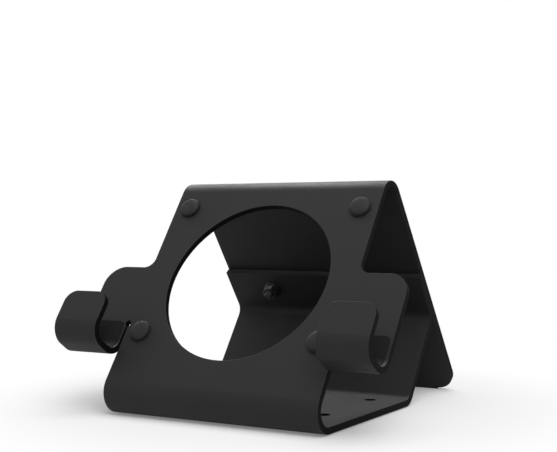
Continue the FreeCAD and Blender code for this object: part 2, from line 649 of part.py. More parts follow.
def brace_screw(label, side):
    """Button-head screw; its own Z axis points out of the leg, its head sits at zero."""
    body = new_body(label)
    sketch = new_sketch(body, label + "_profile", "XZ_Plane")
    shank, length = size("screw_diameter") / 2, size("screw_length")
    head, height, crown = size("head_radius"), size("head_height"), size("crown_radius")
    bottom = line(sketch, Vector(0, -length, 0), Vector(shank, -length, 0))
    side_line = line(sketch, Vector(shank, -length, 0), Vector(shank, 0, 0))
    seat = line(sketch, Vector(shank, 0, 0), Vector(head, 0, 0))
    rim = line(sketch, Vector(head, 0, 0), Vector(head, size("head_rim"), 0))
    dome = line(sketch, Vector(head, size("head_rim"), 0), Vector(crown, height, 0))
    top = line(sketch, Vector(crown, height, 0), Vector(0, height, 0))
    axis = line(sketch, Vector(0, height, 0), Vector(0, -length, 0))
    chain = [(bottom, START, END), (side_line, START, END), (seat, START, END),
             (rim, START, END), (dome, START, END), (top, START, END), (axis, START, END)]
    for i in range(len(chain)):
        this, following = chain[i], chain[(i + 1) % len(chain)]
        join(sketch, this[0], this[2], following[0], following[1])
    for item in (bottom, seat, top):
        sketch.addConstraint(Sketcher.Constraint("Horizontal", item))
    sketch.addConstraint(Sketcher.Constraint("Vertical", side_line))
    sketch.addConstraint(Sketcher.Constraint("Vertical", rim))
    sketch.addConstraint(Sketcher.Constraint("PointOnObject", axis, START, -2))
    sketch.addConstraint(Sketcher.Constraint("PointOnObject", axis, END, -2))
    sketch.addConstraint(Sketcher.Constraint("PointOnObject", seat, START, -1))
    dimension(sketch, "DistanceX", "screw_radius", bottom, START, bottom, END)
    dimension(sketch, "DistanceY", "screw_length", side_line, START, side_line, END)
    dimension(sketch, "DistanceX", "head_radius", -1, START, seat, END)
    dimension(sketch, "DistanceX", "crown_radius", top, END, top, START)
    dimension(sketch, "DistanceY", "head_height", -1, START, top, END)
    dimension(sketch, "DistanceY", "head_rim", rim, START, rim, END)
    turned = body.newObject("PartDesign::Revolution", label + "_turned")
    turned.Profile = sketch
    turned.ReferenceAxis = (sketch, ["V_Axis"])
    turned.Angle = 360
    doc.recompute()
    socket = new_sketch(body, label + "_socket_profile", "XY_Plane",
                        (Vector(0, 0, 1), {"Base.z": "head_height"}))
    hexagon(socket, "socket_corner_radius")
    pocket(body, label + "_socket", socket, "socket_cut")
    place(body, side + "sizes.screw_x", "sizes.head_seat_y", "sizes.head_seat_z",
          LEANING, "leg_angle")
    return body


def brace_washer(label, side):
    body = new_body(label)
    sketch = new_sketch(body, label + "_profile", "XY_Plane")
    for index, radius in enumerate(("washer_radius", "washer_bore_radius")):
        circle(sketch, 0, 0, radius)
        join(sketch, index, CENTRE, -1, START)
    pad(body, label + "_disc", sketch, "washer_thickness")
    place(body, side + "sizes.screw_x", "sizes.washer_y", "sizes.washer_z",
          LEANING, "leg_angle")
    return body


def brace_nut(label, side):
    """Hexagon nut with its corners turned down at both faces."""
    body = new_body(label)
    sketch = new_sketch(body, label + "_profile", "XY_Plane")
    hexagon(sketch, "nut_corner_radius")
    bore = circle(sketch, 0, 0, "nut_bore_radius")
    join(sketch, bore, CENTRE, -1, START)
    pad(body, label + "_hexagon", sketch, "nut_height")
    turned = new_sketch(body, label + "_chamfer_profile", "XZ_Plane")
    corner, height, cut = size("nut_corner_radius"), size("nut_height"), size("nut_chamfer")
    for level, sign in ((0.0, 1), (height, -1)):
        first = turned.GeometryCount
        points = [Vector(corner - 2 * cut, level, 0), Vector(corner + cut, level, 0),
                  Vector(corner + cut, level + sign * 1.5 * cut, 0)]
        for i in range(3):
            line(turned, points[i], points[(i + 1) % 3])
        for i in range(3):
            join(turned, first + i, END, first + (i + 1) % 3, START)
        turned.addConstraint(Sketcher.Constraint("Horizontal", first))
        turned.addConstraint(Sketcher.Constraint("Vertical", first + 1))
        dimension(turned, "DistanceX", "chamfer_start", -1, START, first, START)
        dimension(turned, "DistanceX", "chamfer_width", first, START, first, END)
        ends = (first + 1, START, first + 1, END) if sign > 0 else (first + 1, END, first + 1, START)
        dimension(turned, "DistanceY", "chamfer_rise", *ends)
        if sign > 0:
            turned.addConstraint(Sketcher.Constraint("PointOnObject", first, START, -1))
        else:
            dimension(turned, "DistanceY", "nut_height", -1, START, first, START)
    before = body.Shape.Volume
    groove = body.newObject("PartDesign::Groove", label + "_chamfer")
    groove.Profile = turned
    groove.ReferenceAxis = (turned, ["V_Axis"])
    groove.Angle = 360
    doc.recompute()
    if body.Shape.Volume > before - 0.1:
        raise RuntimeError("the nut's chamfer removed nothing")
    place(body, side + "sizes.screw_x", "sizes.nut_y", "sizes.nut_z", LEANING, "leg_angle")
    return body


# ---------------------------------------------------------------- build and export
parts = [folded_sheet(),
         hook_liner("hook_liner_right", "liner_x"),
         hook_liner("hook_liner_left", "liner_mirror_x")]
for name, side in (("right", "+"), ("left", "-")):
    parts.append(plate_bumper("bumper_low_" + name, side, "low"))
    parts.append(plate_bumper("bumper_high_" + name, side, "high"))
    parts.append(base_pad("base_pad_front_" + name, side, "front"))
    parts.append(base_pad("base_pad_rear_" + name, side, "rear"))
    parts.append(brace_screw("brace_screw_" + name, side))
    parts.append(brace_washer("brace_washer_" + name, side))
    parts.append(brace_nut("brace_nut_" + name, side))
parts.append(toe_strip())
doc.recompute()

for item in doc.Objects:
    if "Invalid" in item.State or "Error" in item.State:
        raise RuntimeError("%s failed: %s" % (item.Label, item.State))
for item in parts:
    if item.Shape.isNull() or not item.Shape.isValid():
        raise RuntimeError(item.Label + " has no valid shape")
    if len(item.Shape.Solids) != 1:
        raise RuntimeError("%s has %d solids" % (item.Label, len(item.Shape.Solids)))

os.makedirs("parts", exist_ok=True)
whole = FreeCAD.BoundBox()
for item in parts:
    item.Shape.exportStep("parts/%s.step" % item.Label)
    whole.add(item.Shape.BoundBox)
    print("%-24s volume %9.1f" % (item.Label, item.Shape.Volume))
print("X %.2f..%.2f  Y %.2f..%.2f  Z %.2f..%.2f" % (
    whole.XMin, whole.XMax, whole.YMin, whole.YMax, whole.ZMin, whole.ZMax))
print("anchor holes' centre: y %.3f z %.3f" % (size("anchor_y"), size("pad_thickness")))
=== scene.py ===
"""Looks of a tablet stand folded from one sheet: coated sheet, rubber parts and fasteners.

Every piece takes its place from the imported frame: +X across the stand, +Y from the hooks back
to the rear leg, +Z up, in metres. The stand has one body, so all pieces ride on "root".
"""
import json
import math

import bmesh
import bpy
from mathutils import Matrix, Vector

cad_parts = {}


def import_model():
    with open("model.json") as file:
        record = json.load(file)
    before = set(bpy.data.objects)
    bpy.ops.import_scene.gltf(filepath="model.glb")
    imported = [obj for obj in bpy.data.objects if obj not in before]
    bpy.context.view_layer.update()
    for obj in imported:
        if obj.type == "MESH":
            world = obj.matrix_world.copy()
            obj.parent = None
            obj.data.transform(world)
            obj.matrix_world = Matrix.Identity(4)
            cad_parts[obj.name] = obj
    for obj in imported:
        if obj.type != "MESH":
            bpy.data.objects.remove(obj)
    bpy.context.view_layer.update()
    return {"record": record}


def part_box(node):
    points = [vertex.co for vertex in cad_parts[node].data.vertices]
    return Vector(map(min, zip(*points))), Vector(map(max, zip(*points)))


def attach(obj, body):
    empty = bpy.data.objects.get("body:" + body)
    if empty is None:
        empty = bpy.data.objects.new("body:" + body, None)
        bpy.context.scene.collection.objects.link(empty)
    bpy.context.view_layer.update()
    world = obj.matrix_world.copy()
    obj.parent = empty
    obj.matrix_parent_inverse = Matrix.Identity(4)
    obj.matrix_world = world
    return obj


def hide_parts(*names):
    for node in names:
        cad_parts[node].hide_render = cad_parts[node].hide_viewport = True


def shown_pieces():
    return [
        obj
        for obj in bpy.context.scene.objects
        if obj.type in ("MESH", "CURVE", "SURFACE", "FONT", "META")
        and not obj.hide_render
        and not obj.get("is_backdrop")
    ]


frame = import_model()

MM = 0.001
SIDES = {"left": -1, "right": 1}

# ---------------------------------------------------------------- sizes of the folded sheet
THICKNESS = 3.0 * MM
STRIP_WIDTH = 109.4 * MM
PLATE_ANGLE = math.radians(54.5)
LEG_ANGLE = math.radians(54.5)
BRACE_ANGLE = math.radians(54.5)
BASE_LENGTH = 99.9 * MM
LEG_REACH = 156.0 * MM
TOP_BEND = 7.0 * MM
FRONT_BEND = 7.0 * MM
REAR_BEND = 5.0 * MM
FLANGE_BEND = 5.0 * MM
FLANGE_FLAT = 21.0 * MM
SEAM_GAP = 0.15 * MM
TOE_CORNER = 10.0 * MM
WINDOW_RADIUS = 41.0 * MM
WINDOW_HEIGHT = 74.1 * MM
HOOK_WIDTH = 23.7 * MM
SLIT_WIDTH = 1.1 * MM
SLIT_TOP = 48.5 * MM
RELIEF_RADIUS = 1.5 * MM
EAR_TOP = 79.5 * MM
EAR_CORNER = 10.0 * MM
EAR_ROOT = 5.0 * MM
HOOK_SLOT = 16.6 * MM
HOOK_SEAT = 33.3 * MM
HOOK_BEND = 6.0 * MM
TAB_HEIGHT = 20.3 * MM
TAB_CORNER = 6.0 * MM
ANCHOR_RADIUS = 2.75 * MM
ANCHOR_SPACING_X = 78.0 * MM
ANCHOR_SPACING_Y = 45.0 * MM
SCREW_HOLE_RADIUS = 2.25 * MM
EDGE_ROUND = 0.25 * MM
BEND_STEPS = 18
CORNER_STEPS = 10
WINDOW_CORNERS = 144
RELIEF_CORNERS = 32
HOLE_CORNERS = 48

# Sizes of the small parts.
LINER_THICKNESS = 0.5 * MM
LINER_INSET = 1.5 * MM
LINER_HEIGHT = 16.0 * MM
LINER_CORNER = 2.0 * MM
LINER_ROUND = 0.1 * MM
LINER_BEND_STEPS = 12
BUMPER_RADIUS = 5.0 * MM
BUMPER_THICKNESS = 2.7 * MM
BUMPER_FOOT = 0.3 * MM
DOME_START = 0.42
DOME_ANGLES = (0, 14, 30, 47, 64, 80)
DOME_FLAT = 0.12
PAD_RADIUS = 6.0 * MM
PAD_DISH = 0.62
PAD_RING = (0.68, 0.96)
PAD_STEP = 0.3
TOE_END_ROUND = 1.2 * MM
TOE_EDGE_ROUND = 0.12 * MM
SCREW_RADIUS = 2.0 * MM
SCREW_LENGTH = 12.0 * MM
THREAD_DEPTH = 0.33 * MM
THREAD_PITCH = 0.7 * MM
THREAD_TURNS = 12
CREST_END, ROOT_START, ROOT_END = 0.12, 0.5, 0.62
HEAD_RADIUS = 3.8 * MM
HEAD_HEIGHT = 2.2 * MM
HEAD_RIM = 0.6 * MM
HEAD_EDGE = 0.15 * MM
CROWN_RADIUS = 2.2 * MM
CROWN_ANGLES = (18, 27, 36, 45, 54, 63)
SCREW_CORNERS = 40
SOCKET_RADIUS = 1.45 * MM
SOCKET_DEPTH = 1.3 * MM
WASHER_RADIUS = 4.5 * MM
WASHER_THICKNESS = 0.8 * MM
WASHER_BORE = 2.15 * MM
WASHER_RIM = 0.25 * MM
NUT_FLATS = 7.0 * MM
NUT_RADIUS = NUT_FLATS / math.sqrt(3)
NUT_HEIGHT = 3.2 * MM
NUT_BORE = 2.05 * MM
NUT_TURNED = 0.1 * NUT_RADIUS
NUT_TURNED_ANGLE = math.radians(30)
GAUGE_CORNERS = 72
SINK_WIDTH = 0.6 * MM
SINK_DEPTH = 0.4 * MM
SINK_EXTRA = 0.2 * MM
STEEL_ROUND = 0.06 * MM

# Places on the frame.
HALF_WIDTH = STRIP_WIDTH / 2
HOOK_INNER = HALF_WIDTH + SLIT_WIDTH
HOOK_OUTER = HOOK_INNER + HOOK_WIDTH
FLOOR_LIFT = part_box("base_pad_front_left")[1].z
FRONT_CORNER = Vector((0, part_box("toe_strip")[0].y - LEG_REACH, FLOOR_LIFT))
TOE = Vector((0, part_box("toe_strip")[0].y, FLOOR_LIFT))
ANCHOR_CENTRE = Vector(frame["record"]["mounts"][0]["pos_m"])

PLATE_UP = Vector((0, math.cos(PLATE_ANGLE), math.sin(PLATE_ANGLE)))
PLATE_OUT = Vector((0, -math.sin(PLATE_ANGLE), math.cos(PLATE_ANGLE)))
LEG_UP = Vector((0, -math.cos(LEG_ANGLE), math.sin(LEG_ANGLE)))
LEG_OUT = Vector((0, math.sin(LEG_ANGLE), math.cos(LEG_ANGLE)))
ACROSS = Vector((1, 0, 0))
UP = Vector((0, 0, 1))
TINY = 1e-6
CLOSE = 0.01 * MM
CORNER_REACH = 0.05 * MM


def on_plate(x, along, out=0.0):
    """Point across the stand, up the plate from the front corner, and out of its face."""
    return FRONT_CORNER + ACROSS * x + PLATE_UP * along + PLATE_OUT * out


def on_leg(x, along, out=0.0):
    """Point across the stand, up the leg from its toe, and out of its underside."""
    return TOE + ACROSS * x + LEG_UP * along + LEG_OUT * out


# ---------------------------------------------------------------- modelling helpers
def only(*objects):
    """Select just these objects; the last one is active."""
    for item in list(bpy.context.selected_objects):
        item.select_set(False)
    for item in objects:
        item.select_set(True)
    bpy.context.view_layer.objects.active = objects[-1]


def edit(piece):
    only(piece)
    bpy.ops.object.mode_set(mode="EDIT")


def leave_edit():
    bpy.ops.object.mode_set(mode="OBJECT")


def bake_place(piece):
    """Move a piece's location, turn and scale into its mesh."""
    only(piece)
    bpy.ops.object.transform_apply(location=True, rotation=True, scale=True)


def pick(piece, kind, test):
    """In edit mode, select the vertices, edges or faces all of whose corners pass the test."""
    bpy.ops.mesh.select_mode(type=kind)
    bpy.ops.mesh.select_all(action="DESELECT")
    form = bmesh.from_edit_mesh(piece.data)
    if kind == "VERT":
        found = [corner for corner in form.verts if test(corner.co)]
    else:
        found = [item for item in (form.edges if kind == "EDGE" else form.faces)
                 if all(test(corner.co) for corner in item.verts)]
    if not found:
        raise RuntimeError("nothing picked on " + piece.name)
    for item in found:
        item.select_set(True)
    form.select_flush_mode()
    bmesh.update_edit_mesh(piece.data)


def pull(direction, distance):
    """Extrude the picked edges or faces straight."""
    bpy.ops.mesh.extrude_region_move(
        TRANSFORM_OT_translate={"value": tuple(direction * distance)})


def turned(direction, angle):
    """A direction turned about the axis across the stand."""
    return Matrix.Rotation(angle, 3, "X") @ direction


def fold(point, heading, folds, half_thickness, steps):
    """Carry the picked edge on round bends and along flats.

    Each fold is (turn, inside radius, flat). A positive turn goes from +Y towards +Z.
    """
    for turn, inside, flat in folds:
        radius = inside + half_thickness
        inward = turned(heading, math.copysign(math.pi / 2, turn))
        centre = point + inward * radius
        bpy.ops.mesh.spin(steps=steps, angle=-turn, center=centre, axis=ACROSS)
        heading = turned(heading, turn)
        point = centre - turned(inward, turn) * radius
        pull(heading, flat)
        point = point + heading * flat


def modify(piece, kind, **settings):
    """Add one modifier and apply it."""
    only(piece)
    modifier = piece.modifiers.new(kind.title(), kind)
    for name, value in settings.items():
        setattr(modifier, name, value)
    bpy.ops.object.modifier_apply(modifier=modifier.name)


def drill(piece, centre, axis, radius, depth, corners=HOLE_CORNERS):
    """Cut a round hole, or a hexagon with corners=6, whose middle is at centre.

    The wall of the hole takes the piece's last material.
    """
    only(piece)
    turn = UP.rotation_difference(axis).to_euler()
    bpy.ops.mesh.primitive_cylinder_add(
        vertices=corners, radius=radius, depth=depth, location=centre, rotation=turn)
    cutter = bpy.context.object
    bake_place(cutter)
    last = max(len(piece.data.materials) - 1, 0)
    for material in piece.data.materials:
        cutter.data.materials.append(material)
    cutter.data.polygons.foreach_set("material_index", [last] * len(cutter.data.polygons))
    modify(piece, "BOOLEAN", operation="DIFFERENCE", solver="EXACT", object=cutter)
    bpy.data.objects.remove(cutter)


def soften(piece, width, segments=3, limit=35):
    """Round the sharp edges and shade the rest smooth."""
    modify(piece, "BEVEL", width=width, segments=segments, limit_method="ANGLE",
           angle_limit=math.radians(limit), use_clamp_overlap=False, miter_outer="MITER_ARC")
    smooth(piece, limit)
    modify(piece, "WEIGHTED_NORMAL", keep_sharp=True)


def smooth(piece, limit=35):
    only(piece)
    bpy.ops.object.shade_smooth_by_angle(angle=math.radians(limit))


def join_doubles():
    """In edit mode, select all and merge corners that lie on each other."""
    bpy.ops.mesh.select_mode(type="VERT")
    bpy.ops.mesh.select_all(action="SELECT")
    bpy.ops.mesh.remove_doubles(threshold=TINY)


def face_outwards(piece):
    edit(piece)
    join_doubles()
    bpy.ops.mesh.normals_make_consistent(inside=False)
    leave_edit()


def strip_plane(name, point, heading, width, length):
    """Flat strip that starts at point and runs along heading."""
    turn = math.atan2(heading.z, heading.y)
    bpy.ops.mesh.primitive_plane_add(
        size=1, location=point + heading * length / 2, rotation=(turn, 0, 0))
    piece = named(bpy.context.object, name)
    piece.scale = (width, length, 1)
    bake_place(piece)
    return piece


def named(piece, name):
    piece.name = name
    piece.data.name = name
    return piece


def copied(piece, name, offset):
    """A second piece of the same shape, moved by the offset, with a mesh of its own."""
    twin = piece.copy()
    twin.data = piece.data.copy()
    bpy.context.scene.collection.objects.link(named(twin, name))
    twin.location = offset
    bake_place(twin)
    return twin


def finish_piece(piece, material, node):
    """Put a finished piece on the frame in place of its CAD node."""
    if not piece.data.materials:
        piece.data.materials.append(material)
    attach(piece, "root")
    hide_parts(node)


def finish_pair(right, middle, material, node):
    """Copy a right-hand piece, whose middle is at x = middle, to the left; finish both."""
    left = copied(right, right.name.replace("_right", "_left"), (-2 * middle, 0, 0))
    finish_piece(right, material, node + "_right")
    finish_piece(left, material, node + "_left")


# ---------------------------------------------------------------- the folded sheet
def setback(inside, turn):
    """Sharp corner to the start of its bend, on the outer face."""
    return (inside + THICKNESS) * math.tan(abs(turn) / 2)


def loop_folds():
    """Flat of the leg, then the folds of the loop from the top bend to the flange."""
    top_turn = PLATE_ANGLE + LEG_ANGLE
    front_turn = math.pi - PLATE_ANGLE
    rear_turn = BRACE_ANGLE
    flange_turn = math.pi - BRACE_ANGLE - LEG_ANGLE
    span = LEG_REACH + THICKNESS / math.sin(LEG_ANGLE)
    plate = span * math.sin(LEG_ANGLE) / math.sin(top_turn)
    leg = span * math.sin(PLATE_ANGLE) / math.sin(top_turn) - THICKNESS / math.tan(LEG_ANGLE)
    foot_gap = LEG_REACH - BASE_LENGTH - SEAM_GAP / math.sin(LEG_ANGLE)
    brace = foot_gap * math.sin(LEG_ANGLE) / math.sin(flange_turn)
    top, front = setback(TOP_BEND, top_turn), setback(FRONT_BEND, front_turn)
    rear, flange = setback(REAR_BEND, rear_turn), setback(FLANGE_BEND, flange_turn)
    folds = [(top_turn, TOP_BEND, plate - top - front),
             (front_turn, FRONT_BEND, BASE_LENGTH - front - rear),
             (rear_turn, REAR_BEND, brace - rear - flange),
             (flange_turn, FLANGE_BEND, FLANGE_FLAT)]
    return leg - top, folds


def plate_place(point):
    """Distance up the plate and out of its middle surface."""
    offset = point - FRONT_CORNER
    return offset.dot(PLATE_UP), offset.dot(PLATE_OUT) + THICKNESS / 2


def near(value, target):
    return abs(value - target) < CLOSE


def stand_sheet(material, edge_shade_material):
    """The whole stand, folded from one strip with an ear and a hook on each side."""
    half = THICKNESS / 2
    leg_flat, folds = loop_folds()
    start = on_leg(0, 0, half)
    piece = strip_plane("folded_sheet", start, LEG_UP, STRIP_WIDTH, leg_flat)
    edit(piece)
    end = start + LEG_UP * leg_flat
    pick(piece, "EDGE", lambda co: near((co - end).dot(LEG_UP), 0))
    fold(end, LEG_UP, folds, half, BEND_STEPS)

    # Two cuts across the plate mark the top of the slits and the top of the ears.
    def in_plate(co):
        along, out = plate_place(co)
        return near(out, 0) and along > FRONT_BEND

    for level in (SLIT_TOP, EAR_TOP):
        pick(piece, "FACE", in_plate)
        bpy.ops.mesh.bisect(plane_co=on_plate(0, level), plane_no=PLATE_UP)

    # An ear on each side, and the hook that hangs from it beside the front bend.
    for side in SIDES.values():
        def at_ear_root(co):
            along, out = plate_place(co)
            beside = near(co.x * side, HALF_WIDTH)
            return beside and near(out, 0) and SLIT_TOP - TINY < along < EAR_TOP + TINY

        def at_ear_foot(co):
            along, out = plate_place(co)
            return near(out, 0) and near(along, SLIT_TOP) and co.x * side > HOOK_INNER - TINY

        pick(piece, "EDGE", at_ear_root)
        pull(ACROSS, side * SLIT_WIDTH)
        pull(ACROSS, side * HOOK_WIDTH)
        pick(piece, "EDGE", at_ear_foot)
        pull(-PLATE_UP, SLIT_TOP - HOOK_SEAT - HOOK_BEND)
        bend = on_plate(0, HOOK_SEAT + HOOK_BEND, -half)
        quarter = -math.pi / 2
        hook_folds = [(quarter, HOOK_BEND, HOOK_SLOT - 2 * HOOK_BEND),
                      (quarter, HOOK_BEND, TAB_HEIGHT - HOOK_BEND)]
        fold(bend, -PLATE_UP, hook_folds, half, BEND_STEPS)

    # Flats become single faces, so that their corners can be rounded.
    join_doubles()
    bpy.ops.mesh.dissolve_limited(angle_limit=math.radians(0.5))
    tab_top = HOOK_SEAT + TAB_HEIGHT
    roundings = [
        (TOE_CORNER, [on_leg(side * HALF_WIDTH, 0, half) for side in SIDES.values()]),
        (TAB_CORNER, [on_plate(side * edge, tab_top, HOOK_SLOT + half)
                      for side in SIDES.values() for edge in (HOOK_INNER, HOOK_OUTER)]),
        (EAR_CORNER, [on_plate(side * HOOK_OUTER, EAR_TOP, -half) for side in SIDES.values()]),
        (EAR_ROOT, [on_plate(side * HALF_WIDTH, EAR_TOP, -half) for side in SIDES.values()])]
    for radius, corners in roundings:
        pick(piece, "VERT",
             lambda co: any((co - corner).length < CORNER_REACH for corner in corners))
        bpy.ops.mesh.bevel(offset=radius, segments=CORNER_STEPS, affect="VERTICES")
    bpy.ops.mesh.select_all(action="SELECT")
    bpy.ops.mesh.normals_make_consistent(inside=False)
    leave_edit()

    # The wall: its faces keep the coat, and the cut rim takes a darker copy of the coat as painted
    # shade.
    piece.data.materials.append(material)
    piece.data.materials.append(edge_shade_material)
    modify(piece, "SOLIDIFY", thickness=THICKNESS, offset=0, use_even_offset=True,
           use_quality_normals=True, material_offset_rim=1)
    face_outwards(piece)
    through = 4 * THICKNESS
    drill(piece, on_plate(0, WINDOW_HEIGHT, -half), PLATE_OUT, WINDOW_RADIUS, through,
          WINDOW_CORNERS)
    for side in SIDES.values():
        slit = side * (HALF_WIDTH + SLIT_WIDTH / 2)
        drill(piece, on_plate(slit, SLIT_TOP, -half), PLATE_OUT, RELIEF_RADIUS, through,
              RELIEF_CORNERS)
        for end in (-1, 1):
            spot = ANCHOR_CENTRE + Vector((side * ANCHOR_SPACING_X, end * ANCHOR_SPACING_Y, 0)) / 2
            drill(piece, spot, UP, ANCHOR_RADIUS, through)
        through_both = 6 * THICKNESS
        drill(piece, joint_place(side, 0), LEG_OUT, SCREW_HOLE_RADIUS, through_both)
    soften(piece, EDGE_ROUND)
    finish_piece(piece, material, "stand_sheet")


# ---------------------------------------------------------------- round parts
def turned_part(name, rings, corners=HOLE_CORNERS):
    """Solid of revolution about Z: each ring is (radius, level), from the lowest up."""
    radius, level = rings[0]
    bpy.ops.mesh.primitive_circle_add(
        vertices=corners, radius=radius, fill_type="NGON", location=(0, 0, level))
    piece = named(bpy.context.object, name)
    bake_place(piece)
    edit(piece)
    bpy.ops.mesh.select_all(action="SELECT")
    for wider, higher in rings[1:]:
        pull(UP, higher - level)
        factor = wider / radius
        bpy.ops.transform.resize(value=(factor, factor, 1), center_override=(0, 0, higher))
        radius, level = wider, higher
    leave_edit()
    face_outwards(piece)
    return piece


def set_down(piece, place, axis):
    """Stand a piece modelled along Z on its place, and keep the place in its mesh."""
    piece.rotation_euler = UP.rotation_difference(axis).to_euler()
    piece.location = place
    bake_place(piece)


def rounded_rings(radius, low, high, rounding, steps=4):
    """Rings of a disc whose upper rim is rounded over."""
    rings = [(radius, low)]
    for step in range(steps + 1):
        angle = math.pi / 2 * step / steps
        rings.append((radius - rounding * (1 - math.cos(angle)),
                      high - rounding * (1 - math.sin(angle))))
    return rings


# ---------------------------------------------------------------- soft parts
def hook_liners(material):
    """Soft lining along the inside of each hook, with rounded free ends."""
    half = LINER_THICKNESS / 2
    middle = HOOK_INNER + HOOK_WIDTH / 2
    width = HOOK_WIDTH - 2 * LINER_INSET
    flat = LINER_HEIGHT - HOOK_BEND
    start = on_plate(middle, HOOK_SEAT + LINER_HEIGHT, half)
    piece = strip_plane("liner_right", start, -PLATE_UP, width, flat)
    edit(piece)
    end = start - PLATE_UP * flat
    pick(piece, "EDGE", lambda co: near((co - end).dot(PLATE_UP), 0))
    inside = HOOK_BEND - LINER_THICKNESS
    quarter = -math.pi / 2
    fold(end, -PLATE_UP, [(quarter, inside, HOOK_SLOT - 2 * HOOK_BEND), (quarter, inside, flat)],
         half, LINER_BEND_STEPS)
    join_doubles()
    bpy.ops.mesh.normals_make_consistent(inside=False)

    def free_corner(co):
        return near((co - start).dot(PLATE_UP), 0) and near(abs(co.x - middle), width / 2)

    pick(piece, "VERT", free_corner)
    bpy.ops.mesh.bevel(offset=LINER_CORNER, segments=6, affect="VERTICES")
    leave_edit()
    modify(piece, "SOLIDIFY", thickness=LINER_THICKNESS, offset=0, use_even_offset=True)
    soften(piece, LINER_ROUND, segments=2)
    finish_pair(piece, middle, material, "hook_liner")


def bumpers(material):
    """Domed rubber bumpers that hold the tablet off the plate."""
    rings = [(BUMPER_RADIUS - BUMPER_FOOT, 0), (BUMPER_RADIUS, BUMPER_FOOT)]
    for angle in DOME_ANGLES:
        slope = math.radians(angle)
        share = DOME_START + (1 - DOME_START) * math.sin(slope)
        rings.append((BUMPER_RADIUS * math.sqrt(math.cos(slope)), BUMPER_THICKNESS * share))
    rings.append((DOME_FLAT * BUMPER_RADIUS, BUMPER_THICKNESS))
    first = turned_part("bumper_low_right_dome", rings)
    smooth(first, 50)
    place = bumper_foot("bumper_low_right")
    set_down(first, place, PLATE_OUT)
    for node in ("bumper_low_left", "bumper_high_right", "bumper_high_left"):
        twin = copied(first, node + "_dome", bumper_foot(node) - place)
        finish_piece(twin, material, node)
    finish_piece(first, material, "bumper_low_right")


def bumper_foot(node):
    """Where the axis of a bumper meets the face of the plate."""
    low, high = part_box(node)
    return Vector(((low.x + high.x) / 2, high.y - BUMPER_RADIUS * PLATE_UP.y,
                   low.z + BUMPER_RADIUS * PLATE_UP.z))


def base_pads(material):
    """Thin discs under the base, dished in the middle, that keep it from sliding."""
    inner, outer = PAD_RING
    step = PAD_STEP * FLOOR_LIFT
    rings = [(PAD_RADIUS * PAD_DISH, step), (PAD_RADIUS * inner, 0), (PAD_RADIUS * outer, 0),
             (PAD_RADIUS, step), (PAD_RADIUS, FLOOR_LIFT)]
    first = turned_part("pad_front_right", rings)
    smooth(first)
    centre = sum(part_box("base_pad_front_right"), Vector()) / 2
    set_down(first, Vector((centre.x, centre.y, 0)), UP)
    for place in ("front_left", "rear_left", "rear_right"):
        offset = sum(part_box("base_pad_" + place), Vector()) / 2 - centre
        twin = copied(first, "pad_" + place, offset)
        finish_piece(twin, material, "base_pad_" + place)
    finish_piece(first, material, "base_pad_front_right")


def toe_strip(material):
    """Rubber wedge between the cut edge of the leg and the floor."""
    low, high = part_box("toe_strip")
    bpy.ops.mesh.primitive_cube_add(size=1, location=(low + high) / 2)
    piece = named(bpy.context.object, "toe_wedge")
    piece.scale = high - low
    bake_place(piece)
    edit(piece)
    pick(piece, "VERT", lambda co: near(co.y, low.y) and near(co.z, high.z))
    bpy.ops.transform.translate(value=(0, 0, FLOOR_LIFT - high.z))
    pick(piece, "EDGE", lambda co: near(co.y, high.y) and near(abs(co.x), high.x))
    bpy.ops.mesh.bevel(offset=TOE_END_ROUND, segments=5, affect="EDGES")
    leave_edit()
    soften(piece, TOE_EDGE_ROUND, segments=2)
    finish_piece(piece, material, "toe_strip")


# ---------------------------------------------------------------- fasteners
def joint_place(side, out):
    """Point on the axis of a brace screw, a distance out from the leg's inner face."""
    middle = sum(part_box("brace_washer_right"), Vector()) / 2
    return on_leg(side * middle.x, (middle - TOE).dot(LEG_UP), out)


def screw_rings():
    """Rings of a button-head screw from its tip to its crown; its head sits at zero."""
    root = SCREW_RADIUS - THREAD_DEPTH
    rings = [(root, -SCREW_LENGTH)]
    level = -SCREW_LENGTH + THREAD_DEPTH
    for _ in range(THREAD_TURNS):
        rings += [(SCREW_RADIUS, level), (SCREW_RADIUS, level + CREST_END * THREAD_PITCH),
                  (root, level + ROOT_START * THREAD_PITCH), (root, level + ROOT_END * THREAD_PITCH)]
        level += THREAD_PITCH
    rings += [(SCREW_RADIUS, level), (SCREW_RADIUS, 0), (HEAD_RADIUS - HEAD_EDGE, 0),
              (HEAD_RADIUS, HEAD_EDGE), (HEAD_RADIUS, HEAD_RIM)]
    for angle in CROWN_ANGLES:
        slope = math.radians(angle)
        rings.append((CROWN_RADIUS + (HEAD_RADIUS - CROWN_RADIUS) * math.cos(slope),
                      HEAD_RIM + (HEAD_HEIGHT - HEAD_RIM) * math.sin(slope)))
    rings.append((CROWN_RADIUS, HEAD_HEIGHT))
    return rings


def brace_screws(material):
    """Button-head screws with a hexagon socket, from the rear face of the leg inwards."""
    piece = turned_part("button_screw_right", screw_rings(), SCREW_CORNERS)
    drill(piece, HEAD_HEIGHT * UP, UP, SOCKET_RADIUS, 2 * SOCKET_DEPTH, 6)
    smooth(piece, 28)
    set_down(piece, joint_place(1, THICKNESS), LEG_OUT)
    finish_pair(piece, joint_place(1, 0).x, material, "brace_screw")


def brace_washers(material):
    """Flat washers between the flange and the nuts."""
    rings = rounded_rings(WASHER_RADIUS, 0, WASHER_THICKNESS, WASHER_RIM)
    piece = turned_part("flat_washer_right", rings)
    drill(piece, Vector(), UP, WASHER_BORE, 4 * WASHER_THICKNESS)
    soften(piece, STEEL_ROUND, segments=2, limit=60)
    set_down(piece, joint_place(1, -THICKNESS - SEAM_GAP), -LEG_OUT)
    finish_pair(piece, joint_place(1, 0).x, material, "brace_washer")


